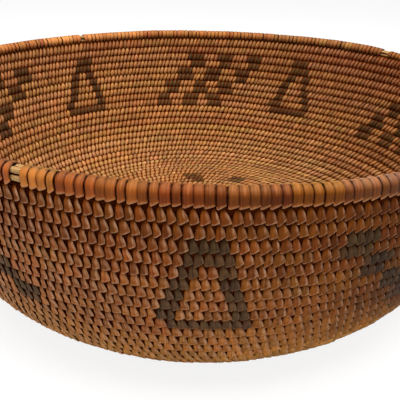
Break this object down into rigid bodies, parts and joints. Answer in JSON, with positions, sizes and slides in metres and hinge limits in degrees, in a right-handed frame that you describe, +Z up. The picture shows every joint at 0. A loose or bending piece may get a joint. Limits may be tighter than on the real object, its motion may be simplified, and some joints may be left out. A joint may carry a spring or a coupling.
{
  "type": "coiled bowl basket",
  "caption": "Round coiled basket with a flat floor, steep walls and a wrapped rim, for holding food or small goods.",
  "frame": {"origin": "on the bowl's axis, at the underside of the floor", "axes": "+Z up along the bowl's axis; the side that faced the camera is at -Y, with +X to its right"},
  "size_m": [0.3297, 0.3297, 0.1125],
  "materials": {
    "sewn_coil": "satin plant fibre",
    "start_knot": "satin plant fibre",
    "grass_bundle": "matt straw",
    "rim_strand": "semi-gloss plant fibre",
    "dark_strand": "satin dyed plant fibre"
  },
  "bodies": {
    "root": {"start_knot": "start_knot", "base_coil": "sewn_coil", "wall_coil": "sewn_coil", "rim_coil": "grass_bundle", "rim_strand_01": "rim_strand", "rim_strand_02": "rim_strand", "rim_strand_03": "rim_strand", "rim_strand_04": "rim_strand", "rim_strand_05": "rim_strand", "rim_strand_06": "rim_strand", "rim_strand_07": "rim_strand", "rim_strand_08": "rim_strand", "rim_strand_09": "rim_strand", "rim_strand_10": "rim_strand", "rim_strand_11": "rim_strand", "rim_strand_12": "rim_strand", "rim_strand_13": "rim_strand", "rim_strand_14": "rim_strand", "rim_strand_15": "rim_strand", "rim_strand_16": "rim_strand", "rim_strand_17": "rim_strand", "rim_strand_18": "rim_strand", "rim_strand_19": "rim_strand", "rim_strand_20": "rim_strand", "rim_strand_21": "rim_strand", "rim_strand_22": "rim_strand", "rim_strand_23": "rim_strand", "rim_strand_24": "rim_strand", "rim_strand_25": "rim_strand"}
  },
  "joints": []
}
